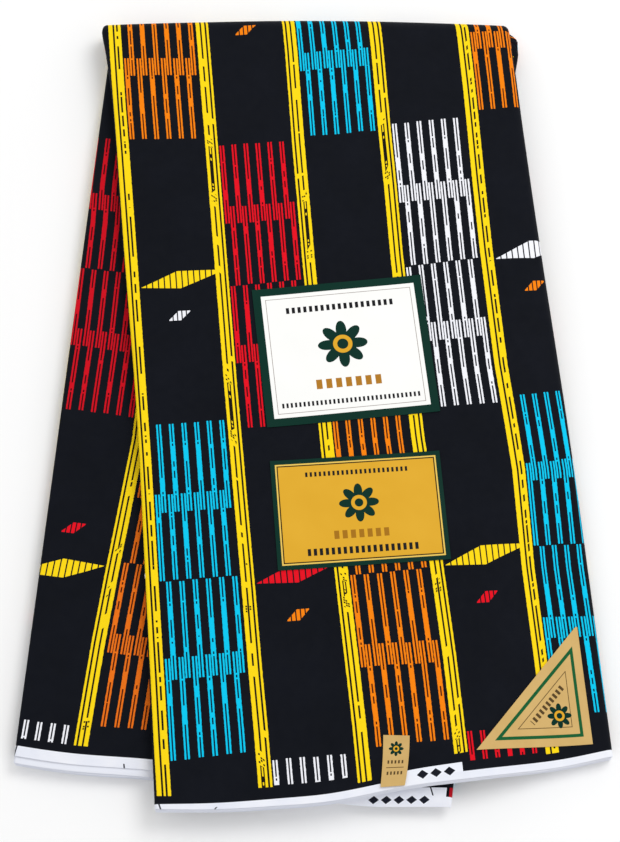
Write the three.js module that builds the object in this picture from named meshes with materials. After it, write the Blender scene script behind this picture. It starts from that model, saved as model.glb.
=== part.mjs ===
// A folded length of wax print cotton with its paper labels, lying flat.
// Millimetres: X across the plies, Y from the hems towards the half fold, Z up from the surface.
// The cloth is zigzag folded into a stack of plies, and the stack is folded once in half on the skew,
// so that the front half leans to the right and the back half, under it, leans to the left.

import * as THREE from "three";

// Stack and cloth
const STACK_HEIGHT = 25.4;
const FOLD_RADIUS = STACK_HEIGHT / 2;
const CLOTH_WALL = 1.2;
const GAP = 0.3;
const CREASE_HALF = CLOTH_WALL / 2 + GAP;
const SELVEDGE_WIDTH = 7;
const FOLD_BOW = 4.2;

// Rounded side edges of the outer ply and of the back half's inner ply, and how deep each turns down
const EDGE_RADIUS = { left: 3.2, right: 5 };
const RIM_DEPTH = 5;
const BACK_EDGE_RADIUS = 2.2;
const BACK_RIM_DEPTH = 2.4;

// The edges of each half in plan. Down is the distance from the half fold's outer edge.
const FRONT_EDGES = {
  left: [
    { down: FOLD_RADIUS, x: -158.9 },
    { down: 32, x: -155.2 },
    { down: 80, x: -148.6 },
    { down: 180, x: -140 },
    { down: 330, x: -125.2 },
    { down: 604.3, x: -107.8 },
  ],
  right: [
    { down: FOLD_RADIUS, x: 156.2 },
    { down: 48, x: 159.1 },
    { down: 100, x: 162.7 },
    { down: 185, x: 169.8 },
    { down: 325, x: 183.3 },
    { down: 415, x: 190.6 },
    { down: 570.4, x: 200.6 },
  ],
};
const BACK_EDGES = {
  left: [
    { down: FOLD_RADIUS, x: -152.5 },
    { down: 568.4, x: -203.2 },
  ],
  right: [
    { down: FOLD_RADIUS, x: 163.5 },
    { down: 595.4, x: 88.2 },
  ],
};

// How far each hem bulges past a straight line between its corners, from left (0) to right (1).
const FRONT_HEM = [
  { across: 0, out: 0 },
  { across: 0.13, out: 5.3 },
  { across: 0.38, out: 7.6 },
  { across: 0.55, out: 2 },
  { across: 0.8, out: 1.6 },
  { across: 1, out: 0 },
];
const BACK_HEM = [
  { across: 0, out: 0 },
  { across: 0.15, out: 3.4 },
  { across: 0.7, out: 5.6 },
  { across: 1, out: 0 },
];
const HEM_REACH_POWER = 7;

// The front half's overhang past the back half settles down onto the surface.
const DROOP_REACH = 80;
const DROOP_START = 6;
const DROOP_DEPTH = FOLD_RADIUS + CREASE_HALF;

// Hidden plies: bundles that show as rounded noses at the sides and the hems
const PLY_BUNDLES = 5;
const NOSE_SAMPLES = 4;
const NOSE_REACH = 1.2;
const HEM_NOSE_REACH = 1.6;
const HEM_NOSE_CURVE = 0.5;
const BACK_STACK_PAST_PANEL = 4;

// Mesh density
const FLAT_COLUMNS = 13;
const EDGE_STEPS = 4;
const TURN_STEPS = 9;
const FRONT_STEPS = 14;
const BACK_STEPS = 9;

// Paper labels: centre in plan, size, turn in degrees
const LABEL_THICKNESS = 0.5;
const LABEL_LIFT = 0.4;
const LABELS = {
  label_white: { x: 23.2, down: 277.2, width: 124, height: 107, turn: 5.4 },
  label_gold: { x: 31.7, down: 396.2, width: 119, height: 79, turn: 3.6 },
  label_hem: { x: 51.5, down: 571.6, width: 17.6, height: 34, turn: -4 },
};
const TRIANGLE_LABEL = { corner: { x: 186.6, down: 559 }, leg: 81, turn: 4, apexWidth: 1.5 };
const LABEL_STEPS = 8;

const COLOURS = {
  cloth: 0x15171f,
  selvedge: 0xe8ecf8,
  plies: 0xb9bcc8,
  white: 0xf4f4f1,
  gold: 0xe4af32,
  kraft: 0xcda56a,
};

const lerp = (a, b, t) => a + (b - a) * t;
const clamp01 = (t) => Math.min(1, Math.max(0, t));
const smoothstep = (t) => clamp01(t) ** 2 * (3 - 2 * clamp01(t));

/** Smooth value of one table column, read at a key between the rows. */
function readTable(rows, keyColumn, valueColumn, key) {
  const last = rows.length - 1;
  let row = rows.findIndex((entry) => entry[keyColumn] >= key);
  if (row < 0) row = last;
  row = Math.max(1, row);
  const slope = (i) => {
    const before = rows[Math.max(0, i - 1)];
    const after = rows[Math.min(last, i + 1)];
    return (after[valueColumn] - before[valueColumn]) / (after[keyColumn] - before[keyColumn]);
  };
  const a = rows[row - 1];
  const b = rows[row];
  const span = b[keyColumn] - a[keyColumn];
  const t = (key - a[keyColumn]) / span;
  const bend = 2 * t ** 3 - 3 * t ** 2;
  return (
    (bend + 1) * a[valueColumn] - bend * b[valueColumn] +
    (t ** 3 - 2 * t ** 2 + t) * span * slope(row - 1) +
    (t ** 3 - t ** 2) * span * slope(row)
  );
}

/** Plan point of a half's side edge at a fraction of the way from the fold (0) to the hem (1). */
function edgePoint(edges, side, along) {
  const rows = edges[side];
  const down = lerp(rows[0].down, rows[rows.length - 1].down, along);
  return { x: readTable(rows, "down", "x", down), y: -down };
}

/** X of a section column, which is held to one side edge or lies a share of the way between them. */
function columnX(column, leftX, rightX) {
  if (column.side === "left") return leftX + column.inset;
  if (column.side === "right") return rightX - column.inset;
  return lerp(leftX + EDGE_RADIUS.left, rightX - EDGE_RADIUS.right, column.share);
}

/** How far the half fold bows out, at a share of the way across. */
const foldBow = (share) => FOLD_BOW * 4 * share * (1 - share);

/** How far the front half has settled, at a point in plan. */
function droop(x, y) {
  const rows = BACK_EDGES.right;
  const along = clamp01((-y - rows[0].down) / (rows[1].down - rows[0].down));
  const past = x - edgePoint(BACK_EDGES, "right", along).x - DROOP_START;
  return DROOP_DEPTH * smoothstep(past / DROOP_REACH);
}

/** Point of a half, by its way along, its section column and its depth under the outer ply's face. */
function halfPoint(half, along, column) {
  const left = edgePoint(half.edges, "left", along);
  const right = edgePoint(half.edges, "right", along);
  const x = columnX(column, left.x, right.x);
  const share = clamp01((x - left.x) / (right.x - left.x));
  const hemOut = readTable(half.hem, "across", "out", share) * along ** HEM_REACH_POWER;
  const bow = foldBow(share) * (1 - along) ** HEM_REACH_POWER;
  const y = lerp(left.y, right.y, share) + bow - hemOut;
  const z = half.faceUp ? STACK_HEIGHT - column.depth - droop(x, y) : column.depth;
  return new THREE.Vector3(x, y, z);
}

const FRONT = { edges: FRONT_EDGES, hem: FRONT_HEM, faceUp: true };
const BACK = { edges: BACK_EDGES, hem: BACK_HEM, faceUp: false };

/** Point of the half turn, from the front half (angle 0) round to the back half (angle pi). */
function turnPoint(angle, column) {
  const turned = (angle / Math.PI) ** 2;
  const leftX = lerp(edgePoint(FRONT_EDGES, "left", 0).x, edgePoint(BACK_EDGES, "left", 0).x, turned);
  const rightX = lerp(edgePoint(FRONT_EDGES, "right", 0).x, edgePoint(BACK_EDGES, "right", 0).x, turned);
  const x = columnX(column, leftX, rightX);
  const share = clamp01((x - leftX) / (rightX - leftX));
  const radius = FOLD_RADIUS - column.depth;
  const y = -FRONT_EDGES.left[0].down + foldBow(share) + radius * Math.sin(angle);
  return new THREE.Vector3(x, y, FOLD_RADIUS + radius * Math.cos(angle));
}

const frontLength = FRONT_EDGES.left[FRONT_EDGES.left.length - 1].down;
const backLength = BACK_EDGES.left[BACK_EDGES.left.length - 1].down;
const frontPlyEnd = 1 - SELVEDGE_WIDTH / frontLength;
const backSelvedgeEnd = 1 - BACK_STACK_PAST_PANEL / backLength;
const backPlyEnd = backSelvedgeEnd - SELVEDGE_WIDTH / backLength;

/** Evenly spaced fractions of the way from the fold (0) to a piece's end. */
const evenStations = (end, steps) => Array.from({ length: steps + 1 }, (_, step) => (end * step) / steps);
const frontStations = evenStations(frontPlyEnd, FRONT_STEPS);
const backStations = evenStations(backPlyEnd, BACK_STEPS);

/** The same stations, starting just clear of the half turn. */
const clearOfTurn = (stations) => [GAP / frontLength, ...stations.slice(1)];

/** Closed solid over a block of lattice points: only the block's skin is made, faces pointing out. */
function latticeSolid([rows, columns, layers], place) {
  const indexOf = new Map();
  const points = [];
  const triangles = [];
  const vertex = (i, j, k) => {
    const key = (i * columns + j) * layers + k;
    if (!indexOf.has(key)) {
      indexOf.set(key, points.length);
      points.push(place(i, j, k));
    }
    return indexOf.get(key);
  };
  const quad = (a, b, c, d) => triangles.push([a, b, c], [a, c, d]);
  const patch = (countA, countB, corner) => {
    for (let a = 0; a < countA - 1; a++) {
      for (let b = 0; b < countB - 1; b++) {
        quad(corner(a, b), corner(a + 1, b), corner(a + 1, b + 1), corner(a, b + 1));
      }
    }
  };
  patch(rows, columns, (i, j) => vertex(i, j, 0));
  patch(columns, rows, (j, i) => vertex(i, j, layers - 1));
  patch(layers, rows, (k, i) => vertex(i, 0, k));
  patch(rows, layers, (i, k) => vertex(i, columns - 1, k));
  patch(columns, layers, (j, k) => vertex(0, j, k));
  patch(layers, columns, (k, j) => vertex(rows - 1, j, k));
  const volume = triangles.reduce(
    (sum, [a, b, c]) => sum + points[a].dot(new THREE.Vector3().crossVectors(points[b], points[c])), 0);
  const outward = volume > 0 ? triangles : triangles.map(([a, b, c]) => [a, c, b]);
  const geometry = new THREE.BufferGeometry().setFromPoints(points);
  geometry.setIndex(outward.flat());
  geometry.computeVertexNormals();
  return geometry;
}

/** Section columns of a ply that lies over a stack and turns down a rim at both sides. */
function rimmedColumns(depth, radius, rimDepth) {
  const arc = (side) => {
    const round = radius[side] - depth;
    const points = [{ side, inset: depth, depth: rimDepth }];
    for (let step = 0; step <= EDGE_STEPS; step++) {
      const angle = (step / EDGE_STEPS) * (Math.PI / 2);
      points.push({
        side,
        inset: radius[side] - round * Math.cos(angle),
        depth: radius[side] - round * Math.sin(angle),
      });
    }
    return points;
  };
  const flat = [];
  for (let step = 1; step < FLAT_COLUMNS; step++) {
    flat.push({ share: step / FLAT_COLUMNS, depth });
  }
  return [...arc("left"), ...flat, ...arc("right").reverse()];
}

/** Section of a ply as a wall: the columns of its face, then those of its inside. */
const plySection = (radius, rimDepth) =>
  [0, CLOTH_WALL].map((depth) => rimmedColumns(depth, radius, rimDepth));

// The outer ply lies over the whole stack. The inner one lies on the back half, turned the other way.
const OUTER_PLY = plySection(EDGE_RADIUS, RIM_DEPTH);
const INNER_FACE_DEPTH = FOLD_RADIUS + CREASE_HALF - GAP;
const INNER_PLY = plySection({ left: BACK_EDGE_RADIUS, right: BACK_EDGE_RADIUS }, BACK_RIM_DEPTH).map(
  (columns) => columns.map((column) => ({ ...column, depth: INNER_FACE_DEPTH - column.depth })));

/** A ply's stretch along one half, through stations given as fractions of the way from fold to hem. */
function plyStretch(half, ply, stations) {
  return latticeSolid([stations.length, ply[0].length, 2], (i, j, k) =>
    halfPoint(half, stations[i], ply[k][j]));
}

/** The outer ply's stretch round the half turn. */
function plyTurn() {
  return latticeSolid([TURN_STEPS + 1, OUTER_PLY[0].length, 2], (i, j, k) =>
    turnPoint((i / TURN_STEPS) * Math.PI, OUTER_PLY[k][j]));
}

/** Depths of the hidden plies' side points, with how far each reaches out as a nose (0 to 1). */
function stackLevels() {
  const top = CLOTH_WALL + GAP;
  const bottom = FOLD_RADIUS - CREASE_HALF;
  const noseTop = RIM_DEPTH + GAP;
  const bundle = (bottom - noseTop) / PLY_BUNDLES;
  const levels = [];
  for (let step = 0; step < EDGE_STEPS; step++) {
    levels.push({ depth: lerp(top, noseTop, step / EDGE_STEPS), nose: 0 });
  }
  for (let n = 0; n < PLY_BUNDLES; n++) {
    for (let sample = 0; sample < NOSE_SAMPLES; sample++) {
      const turn = sample / NOSE_SAMPLES;
      levels.push({ depth: noseTop + bundle * (n + turn), nose: Math.sin(turn * Math.PI) });
    }
  }
  levels.push({ depth: bottom, nose: 0 });
  return levels;
}

/** How far in from the side edge the hidden plies end, at one level. */
function stackInset(level, side, isBackHalf) {
  const clear = CLOTH_WALL + GAP;
  const round = EDGE_RADIUS[side] - clear;
  const fromCentre = EDGE_RADIUS[side] - level.depth;
  if (fromCentre > 0) {
    return EDGE_RADIUS[side] - Math.sqrt(Math.max(0, round ** 2 - fromCentre ** 2));
  }
  const underBackRim = isBackHalf && level.depth > INNER_FACE_DEPTH - BACK_RIM_DEPTH - 2 * GAP;
  return underBackRim ? BACK_EDGE_RADIUS + GAP : clear - NOSE_REACH * level.nose;
}

/** Section column of the hidden plies at a column index and a level. */
function stackColumn(j, level, isBackHalf) {
  const { depth } = level;
  if (j === 0) return { side: "left", inset: stackInset(level, "left", isBackHalf), depth };
  if (j === FLAT_COLUMNS) return { side: "right", inset: stackInset(level, "right", isBackHalf), depth };
  return { share: j / FLAT_COLUMNS, depth };
}

/** The hidden plies of both halves, as one solid folded round the crease, layered at its edges. */
function hiddenPlies() {
  const levels = stackLevels();
  const stations = [
    { half: FRONT, along: 1 - HEM_NOSE_REACH / frontLength },
    ...frontStations.slice(1).reverse().map((along) => ({ half: FRONT, along })),
  ];
  for (let step = 0; step <= TURN_STEPS; step++) {
    stations.push({ angle: (step / TURN_STEPS) * Math.PI });
  }
  stations.push(
    ...backStations.slice(1).map((along) => ({ half: BACK, along })),
    { half: BACK, along: 1 - HEM_NOSE_REACH / backLength });
  const lastStation = stations.length - 1;
  return latticeSolid([stations.length, FLAT_COLUMNS + 1, levels.length], (i, j, k) => {
    const station = stations[i];
    const level = levels[k];
    const column = stackColumn(j, level, station.half === BACK || station.angle === Math.PI);
    if (station.angle !== undefined) return turnPoint(station.angle, column);
    const point = halfPoint(station.half, station.along, column);
    if (i === 0 || i === lastStation) point.y -= HEM_NOSE_REACH * level.nose ** HEM_NOSE_CURVE;
    return point;
  });
}

/** A label: the front face under it, moved out, with the label's own outline and thickness. */
function labelSolid(frontFace, corner) {
  const down = new THREE.Vector3(0, 0, -1);
  const faceHeight = (x, y) => {
    const ray = new THREE.Raycaster(new THREE.Vector3(x, y, 2 * STACK_HEIGHT), down);
    const [hit] = ray.intersectObject(frontFace);
    return hit ? hit.point.z : STACK_HEIGHT - droop(x, y);
  };
  return latticeSolid([LABEL_STEPS + 1, LABEL_STEPS + 1, 2], (i, j, k) => {
    const { x, y } = corner(i / LABEL_STEPS, j / LABEL_STEPS);
    return new THREE.Vector3(x, y, faceHeight(x, y) + LABEL_LIFT + k * LABEL_THICKNESS);
  });
}

/** Plan point of a rectangular label at a share of its height and of its width. */
function rectangleCorner(label) {
  const turn = THREE.MathUtils.degToRad(label.turn);
  return (up, across) => {
    const offset = new THREE.Vector2((across - 0.5) * label.width, (up - 0.5) * label.height);
    offset.rotateAround(new THREE.Vector2(), turn);
    return { x: label.x + offset.x, y: offset.y - label.down };
  };
}

/** Plan point of the right-angled triangular label, whose square corner is at its lower right. */
function triangleCorner(label) {
  const turn = THREE.MathUtils.degToRad(label.turn);
  return (up, across) => {
    const width = lerp(label.leg, label.apexWidth, up);
    const offset = new THREE.Vector2((across - 1) * width, up * label.leg);
    offset.rotateAround(new THREE.Vector2(), turn);
    return { x: label.corner.x + offset.x, y: offset.y - label.corner.down };
  };
}

const cloth = new THREE.Group();

function addPiece(name, geometry, color, roughness) {
  const material = new THREE.MeshStandardMaterial({ color, roughness, metalness: 0 });
  const piece = new THREE.Mesh(geometry, material);
  piece.name = name;
  cloth.add(piece);
  return piece;
}

const seam = GAP / frontLength;
const frontPly = plyStretch(FRONT, OUTER_PLY, clearOfTurn(frontStations).reverse());
const backPly = plyStretch(BACK, INNER_PLY, clearOfTurn(backStations));
const underPly = plyStretch(BACK, OUTER_PLY, [...clearOfTurn(backStations), 1]);
const frontSelvedge = plyStretch(FRONT, OUTER_PLY, [frontPlyEnd + seam, 1]);
const backSelvedge = plyStretch(BACK, INNER_PLY, [backPlyEnd + seam, backSelvedgeEnd]);

addPiece("plies", hiddenPlies(), COLOURS.plies, 0.9);
const frontFace = addPiece("front_ply", frontPly, COLOURS.cloth, 0.75);
addPiece("fold_ply", plyTurn(), COLOURS.cloth, 0.75);
addPiece("under_ply", underPly, COLOURS.cloth, 0.75);
addPiece("back_ply", backPly, COLOURS.cloth, 0.75);
addPiece("front_selvedge", frontSelvedge, COLOURS.selvedge, 0.85);
addPiece("back_selvedge", backSelvedge, COLOURS.selvedge, 0.85);
addPiece("label_white", labelSolid(frontFace, rectangleCorner(LABELS.label_white)), COLOURS.white, 0.5);
addPiece("label_gold", labelSolid(frontFace, rectangleCorner(LABELS.label_gold)), COLOURS.gold, 0.4);
addPiece("label_hem", labelSolid(frontFace, rectangleCorner(LABELS.label_hem)), COLOURS.kraft, 0.7);
addPiece("label_triangle", labelSolid(frontFace, triangleCorner(TRIANGLE_LABEL)), COLOURS.kraft, 0.7);

// The origin is under the middle of the whole piece.
const middle = new THREE.Box3().setFromObject(cloth).getCenter(new THREE.Vector3());
cloth.position.set(-middle.x, -middle.y, 0);

export default cloth;
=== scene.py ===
# A folded length of wax-printed cotton with its paper labels, lying flat on a pale floor.
# Sizes are in millimetres while a piece is worked out, and in metres once it is a mesh.

import bpy
import numpy as np
from mathutils import Euler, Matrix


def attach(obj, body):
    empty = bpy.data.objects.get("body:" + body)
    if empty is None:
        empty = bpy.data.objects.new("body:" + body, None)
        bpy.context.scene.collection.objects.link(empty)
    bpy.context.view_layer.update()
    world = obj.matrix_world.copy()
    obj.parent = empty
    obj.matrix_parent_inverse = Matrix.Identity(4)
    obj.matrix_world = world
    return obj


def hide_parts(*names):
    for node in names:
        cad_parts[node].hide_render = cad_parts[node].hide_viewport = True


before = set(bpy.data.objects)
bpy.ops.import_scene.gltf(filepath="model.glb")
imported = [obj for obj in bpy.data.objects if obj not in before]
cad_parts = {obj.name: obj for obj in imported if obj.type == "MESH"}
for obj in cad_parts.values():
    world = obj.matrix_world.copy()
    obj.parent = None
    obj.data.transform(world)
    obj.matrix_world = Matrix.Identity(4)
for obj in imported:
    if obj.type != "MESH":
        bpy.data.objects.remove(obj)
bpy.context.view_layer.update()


# The stack of plies
# One length of cotton, 11 m by 1.17 m, is zigzag folded into a long stack 308 mm wide, and the stack is
# doubled over on the skew: the front half leans to the right and the back half, under it, to the left.
# Its sides show the turned folds of the printed cloth, and its ends the plies' white woven edges.

STACK_HEIGHT = 25.4
FOLD_RADIUS = STACK_HEIGHT / 2
CREASE_HALF = 0.8
# The half fold's line bows out by this at its middle, and the bow dies off along a half by this power
FOLD_BOW = 4.2
BOW_REACH = 7
PLIES_PER_HALF = 18
PLAN_SHIFT = np.array([1.3, 300.436, 0.0])
PLY_WIDTH = 308
# Radius of the rounding at each side, and about how long the back half is
LEFT_ROUND, RIGHT_ROUND = 3.2, 5.0
BACK_LENGTH = 568

# Side edges of each half in plan: distance down from the fold's outer edge, then x
FRONT_LEFT = np.array([[12.7, 32, 80, 180, 330, 604.3], [-158.9, -155.2, -148.6, -140, -125.2, -107.8]])
FRONT_RIGHT = np.array(
    [[12.7, 48, 100, 185, 325, 415, 570.4], [156.2, 159.1, 162.7, 169.8, 183.3, 190.6, 200.6]]
)
BACK_LEFT = np.array([[12.7, 568.4], [-152.5, -203.2]])
BACK_RIGHT = np.array([[12.7, 24, 44, 595.4], [163.9, 163.4, 159.7, 89.8]])
# How far each end bulges past the straight line between its corners, by the share of the width
FRONT_HEM = np.array([[0, 0.13, 0.26, 0.38, 0.55, 0.7, 0.87, 1], [-2.4, 2.4, 4.9, 6, 2, 1.7, 0.1, -3.5]])
BACK_HEM = np.array([[0, 0.07, 0.15, 0.31, 0.7, 1], [0, 1.7, 2.6, 2.1, 5.6, 0]])


def smooth_table(table, at):
    """Value of a table of keys and values: a cubic through every row, whose slope there is the slope
    between the row's two neighbours."""
    keys, values = np.asarray(table, float)
    slopes = np.gradient(values)
    slopes[1:-1] = (values[2:] - values[:-2]) / (keys[2:] - keys[:-2])
    slopes[0] = (values[1] - values[0]) / (keys[1] - keys[0])
    slopes[-1] = (values[-1] - values[-2]) / (keys[-1] - keys[-2])
    row = np.clip(np.searchsorted(keys, at) - 1, 0, len(keys) - 2)
    span = keys[row + 1] - keys[row]
    t = (at - keys[row]) / span
    bend = 2 * t**3 - 3 * t**2
    ends = (bend + 1) * values[row] - bend * values[row + 1]
    return ends + (t**3 - 2 * t**2 + t) * span * slopes[row] + (t**3 - t**2) * span * slopes[row + 1]


def ease(t):
    """Smooth step: three t squared less two t cubed, held between 0 and 1."""
    t = np.clip(t, 0, 1)
    return t * t * (3 - 2 * t)


def settling(x, y):
    """How far the front half has sunk where it lies past the back half's right edge: 13.6 mm, eased in
    over 80 mm."""
    along = np.clip((-y - BACK_RIGHT[0, 0]) / (BACK_RIGHT[0, -1] - BACK_RIGHT[0, 0]), 0, 1)
    down = BACK_RIGHT[0, 0] + along * (BACK_RIGHT[0, -1] - BACK_RIGHT[0, 0])
    return (FOLD_RADIUS + 0.9) * ease((x - smooth_table(BACK_RIGHT, down) - 6) / 80)


def waviness(x, y):
    """Slight unevenness of a hand-laid cloth: the sum of four long waves, each under a quarter millimetre."""
    return (
        0.22 * np.sin(0.021 * x + 0.011 * y + 0.6)
        + 0.16 * np.sin(-0.033 * x + 0.024 * y + 2.0)
        + 0.10 * np.sin(0.070 * x + 0.016 * y + 4.0)
        + 0.07 * np.sin(-0.052 * x + 0.085 * y + 1.0)
    )


def half_place(front, along, s, offset, depth):
    """Points of the front or the back half. x runs from edge to edge with s, then moves by offset. y runs
    from the fold (along 0) to the end (along 1), bowed near both. z is depth under the top, less the
    settling, or on the back half depth over the floor."""
    left, right = (FRONT_LEFT, FRONT_RIGHT) if front else (BACK_LEFT, BACK_RIGHT)
    left_down = left[0, 0] + along * (left[0, -1] - left[0, 0])
    right_down = right[0, 0] + along * (right[0, -1] - right[0, 0])
    left_x, right_x = smooth_table(left, left_down), smooth_table(right, right_down)
    x = left_x + s * (right_x - left_x) + offset
    share = np.clip((x - left_x) / (right_x - left_x), 0, 1)
    bulge = smooth_table(FRONT_HEM if front else BACK_HEM, share) * np.clip(along, 0, 1.02) ** BOW_REACH
    bow = FOLD_BOW * 4 * share * (1 - share) * (1 - along) ** BOW_REACH
    y = -(left_down + share * (right_down - left_down)) + bow - bulge
    z = STACK_HEIGHT - depth - settling(x, y) + waviness(x, y) if front else depth + 0 * x
    return np.stack(np.broadcast_arrays(x, y, z), -1)


def turn_place(angle, s, offset, depth):
    """Points of the half turn, from the front half (angle 0) to the back half (pi): a half circle whose
    radius is the fold's less depth, and whose side edges pass from one half's to the other's, the right
    one late and fast."""
    passed = (angle / np.pi) ** 2
    right_passed = ease((angle - 1.6) / 0.8)
    left_x = FRONT_LEFT[1, 0] + passed * (BACK_LEFT[1, 0] - FRONT_LEFT[1, 0])
    right_x = FRONT_RIGHT[1, 0] + right_passed * (BACK_RIGHT[1, 0] - FRONT_RIGHT[1, 0])
    x = left_x + s * (right_x - left_x) + offset
    share = np.clip((x - left_x) / (right_x - left_x), 0, 1)
    reach = (FOLD_RADIUS - depth) * np.sin(angle) * (0.85 + 0.15 * share)
    y = -FOLD_RADIUS + FOLD_BOW * 4 * share * (1 - share) + reach
    z = FOLD_RADIUS + (FOLD_RADIUS - depth) * np.cos(angle)
    z = z + waviness(x, y) * (1 - angle / np.pi)
    return np.stack(np.broadcast_arrays(x, y, z), -1)


def cloth_mesh(name, points, faces, uv, face_material=None, sharp=40):
    """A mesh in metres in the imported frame, from points in millimetres, four-cornered faces and each
    point's print coordinates, shaded smooth but for edges sharper than an angle."""
    mesh = bpy.data.meshes.new(name)
    mesh.from_pydata((points + PLAN_SHIFT) / 1000, [], faces)
    corners = np.empty(len(mesh.loops), np.int32)
    mesh.loops.foreach_get("vertex_index", corners)
    layer = mesh.uv_layers.new(name="print")
    layer.data.foreach_set("uv", (np.asarray(uv)[corners] / 1000).ravel())
    if face_material is not None:
        mesh.polygons.foreach_set("material_index", np.asarray(face_material, np.int32))
    mesh.shade_smooth()
    mesh.set_sharp_from_angle(angle=np.radians(sharp))
    mesh.update()
    piece = bpy.data.objects.new(name, mesh)
    bpy.context.scene.collection.objects.link(piece)
    return piece


def block_skin(rows, columns, layers):
    """Faces of the skin of a block of rows by columns by layers points, all turned the same way round."""
    index = np.arange(rows * columns * layers).reshape(rows, columns, layers)
    sides = [
        index[:, :, 0],
        index[:, :, -1].T,
        index[:, 0, :].T,
        index[:, -1, :],
        index[0, :, :],
        index[-1, :, :].T,
    ]
    quads = [
        np.stack([side[:-1, :-1], side[1:, :-1], side[1:, 1:], side[:-1, 1:]], -1).reshape(-1, 4)
        for side in sides
    ]
    return np.concatenate(quads)


def skin_only(points, uv, faces):
    """The points that the faces use, with the faces renumbered, turned so that they look outwards."""
    used, renumbered = np.unique(faces, return_inverse=True)
    points, uv, faces = points[used], uv[used], renumbered.reshape(faces.shape)
    a, b, c, d = (points[faces[:, n]] for n in range(4))
    volume = (np.cross(b - a, c - a) * a).sum() + (np.cross(c - a, d - a) * a).sum()
    return points, uv, faces if volume > 0 else faces[:, ::-1]


# Three levels to a ply, from under the outer ply to the crease between the halves
stack_top, stack_bottom = 1.3, FOLD_RADIUS - CREASE_HALF
ply_phase = np.arange(PLIES_PER_HALF * 3 + 1) / 3
level_depth = stack_top + (stack_bottom - stack_top) * ply_phase / PLIES_PER_HALF
ply_number = np.minimum(ply_phase.astype(int), PLIES_PER_HALF - 1)
end_nose = np.sin(np.pi * (ply_phase - ply_number)) ** 0.5
loop_phase = {"left": ply_phase / 2, "right": (ply_phase + 1) / 2}
front_steps, turn_steps, back_steps, width_steps = 90, 16, 80, 70
front_along = np.linspace(1, 0.0005, front_steps)
turn_angle = np.linspace(0, np.pi, turn_steps)
back_along = np.linspace(0.0005, 1, back_steps)
station = np.concatenate([front_along, 0 * turn_angle, back_along])


def fold_reach(side, radius):
    """How far in from the side edge each ply ends, by station and level: round under the outer ply's
    turned edge, then rounded noses of two plies each that stand out by turns."""
    phase = loop_phase[side][None]
    loop = np.floor(phase)
    nose = np.abs(np.sin(np.pi * (phase - loop)))
    sway = np.sin(loop * 2.4 + station[:, None] * (5 + loop % 3) + (side == "left")) * 0.45
    side_by_side = 1.7 - 1.3 * nose**0.6 + sway * nose
    rise = radius - level_depth[None]
    under_edge = radius - np.sqrt(np.clip((radius - 1.4) ** 2 - rise**2, 0, None))
    clear = np.where(level_depth[None] < radius + 1.6, np.maximum(under_edge, 1.5), side_by_side)
    return np.where(rise > 0, under_edge, clear)


across = np.linspace(0, 1, width_steps)
s = np.broadcast_to(across[None, :, None], (len(station), width_steps, len(level_depth)))
left_reach, right_reach = fold_reach("left", LEFT_ROUND)[:, None], fold_reach("right", RIGHT_ROUND)[:, None]
# By either side a point moves in by the side's reach, and between them by part of each side's radius
by_left, by_right = (1 - s) ** 40, s**40
offset = by_left * left_reach - by_right * right_reach
offset = offset + ((1 - s) - by_left) * LEFT_ROUND - (s - by_right) * RIGHT_ROUND
depth = np.broadcast_to(level_depth[None, None], s.shape)
front = slice(0, front_steps)
fold = slice(front_steps, front_steps + turn_steps)
back = slice(-back_steps, None)
stack = np.concatenate(
    [
        half_place(True, front_along[:, None, None], s[front], offset[front], depth[front]),
        turn_place(turn_angle[:, None, None], s[fold], offset[fold], depth[fold]),
        half_place(False, back_along[:, None, None], s[back], offset[back], depth[back]),
    ]
)
# The plies' ends are rounded, wavy and a little out of line with each other
ply_stagger = np.sin(ply_number * 1.9 + 0.5) * 0.9 + np.sin(ply_number * 4.7) * 0.5
end_wave = np.sin(across[:, None] * 9 + ply_number[None] * 1.3) * 0.5
end_reach = (ply_stagger[None] + end_wave) * 0.7 + 1.1 * (end_nose[None] - 1)
stack[0, :, :, 1] -= end_reach + 0.2
stack[-1, :, :, 1] -= end_reach + 0.2
# Print on the plies' side folds: each fold on a side lies two plies' widths further across the cloth, and
# round the half fold they show the dark ground alone
FIRST_FOLD, DARK_GROUND = -12.0, 530
side_u = np.where(across[:, None] < 0.5, FIRST_FOLD, FIRST_FOLD + PLY_WIDTH)
fold_u = side_u + 2 * PLY_WIDTH * np.floor(ply_phase[None] / 2)
stack_v = np.concatenate(
    [491 - 586 * (1 - front_along), np.full(turn_steps, DARK_GROUND), -132 - 560 * back_along]
)
stack_uv = np.stack(
    np.broadcast_arrays(fold_u[None] + 3 * np.sin(ply_phase * 2)[None, None], stack_v[:, None, None]), -1
)
skin = block_skin(*stack.shape[:3])
skin_station = skin // (stack.shape[1] * stack.shape[2])
at_an_end = (skin_station.min(1) < 1) | (skin_station.max(1) > len(station) - 2)
stack_points, stack_uv, skin = skin_only(stack.reshape(-1, 3), stack_uv.reshape(-1, 2), skin)
ply_stack = cloth_mesh("ply_stack", stack_points, skin, stack_uv, at_an_end, sharp=70)
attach(ply_stack, "root")
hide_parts("plies")


# The outer ply
# The cloth's outermost stretch, printed both sides in resist-dyed wax print: it lies over the front half,
# turns over the fold and runs back underneath, and its long sides turn down over the plies inside it.


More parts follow.
